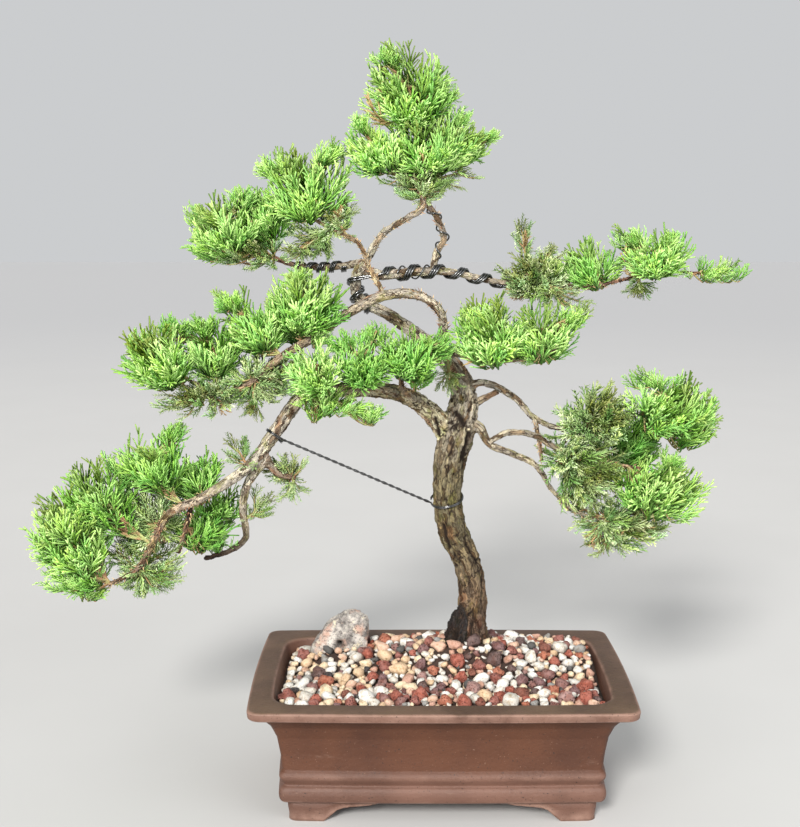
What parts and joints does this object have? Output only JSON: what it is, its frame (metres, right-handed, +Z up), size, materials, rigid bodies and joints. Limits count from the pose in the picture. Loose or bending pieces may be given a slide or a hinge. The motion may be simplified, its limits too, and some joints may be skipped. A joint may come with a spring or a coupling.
{
  "type": "procumbens nana juniper bonsai",
  "caption": "Wired procumbens nana juniper bonsai with bare curved limbs and layered foliage pads, in a brown rectangular footed pot with pumice and lava gravel.",
  "frame": {"origin": "at table level, under the middle of the whole object's bounding box", "axes": "+Z up, +X to the right of the front view, +Y from the front towards the back of the pot, the object's shortest extent"},
  "size_m": [0.638, 0.2372, 0.6522],
  "materials": {
    "clay": "satin",
    "mesh": "matte",
    "gravel": "matte",
    "rock": "matte",
    "bark": "matte",
    "wire": "satin",
    "adult_foliage": "matte",
    "juvenile_foliage": "matte"
  },
  "bodies": {
    "root": {"pot": "clay", "drain_screen_left": "mesh", "drain_screen_right": "mesh", "gravel": "gravel", "accent_rock": "rock", "trunk_and_branches": "bark", "wire_trunk_right": "wire", "wire_left_branch": "wire", "wire_loop_branch": "wire", "guy_wire": "wire", "spray_apex_top": "adult_foliage", "spray_apex_middle": "adult_foliage", "spray_apex_left": "adult_foliage", "spray_apex_right": "adult_foliage", "spray_apex_back": "adult_foliage", "spray_apex_low": "juvenile_foliage", "spray_upper_left_top": "adult_foliage", "spray_upper_left_outer": "adult_foliage", "spray_upper_left_middle": "adult_foliage", "spray_upper_left_low": "juvenile_foliage", "spray_upper_left_inner": "juvenile_foliage", "spray_upper_left_back": "adult_foliage", "spray_mid_left_top": "adult_foliage", "spray_mid_left_outer": "adult_foliage", "spray_mid_left_back": "adult_foliage", "spray_left_outer": "adult_foliage", "spray_left_top": "adult_foliage", "spray_left_low": "juvenile_foliage", "spray_left_core": "juvenile_foliage", "spray_centre_left": "adult_foliage", "spray_centre_low": "adult_foliage", "spray_centre_middle": "adult_foliage", "spray_centre_right": "adult_foliage", "spray_trunk_top": "juvenile_foliage", "spray_low_left_outer": "adult_foliage", "spray_low_left_tail": "adult_foliage", "spray_low_left_top": "adult_foliage", "spray_low_left_comb": "adult_foliage", "spray_low_left_back": "adult_foliage", "spray_low_left_inner": "juvenile_foliage", "spray_low_left_bottom": "juvenile_foliage", "spray_low_left_under": "adult_foliage", "spray_low_left_sprig": "juvenile_foliage", "spray_fork_sprig": "juvenile_foliage", "spray_sub_sprig": "juvenile_foliage", "spray_high_right_inner": "juvenile_foliage", "spray_high_right_middle": "adult_foliage", "spray_high_right_outer": "adult_foliage", "spray_high_right_tip": "adult_foliage", "spray_high_right_low": "juvenile_foliage", "spray_high_right_back": "adult_foliage", "spray_right_front_left": "adult_foliage", "spray_right_front_right": "adult_foliage", "spray_low_right_top": "adult_foliage", "spray_low_right_outer": "adult_foliage", "spray_low_right_inner": "juvenile_foliage", "spray_low_right_core": "juvenile_foliage", "spray_low_right_lower": "adult_foliage", "spray_low_right_bottom": "juvenile_foliage", "spray_low_right_back": "adult_foliage"}
  },
  "joints": []
}
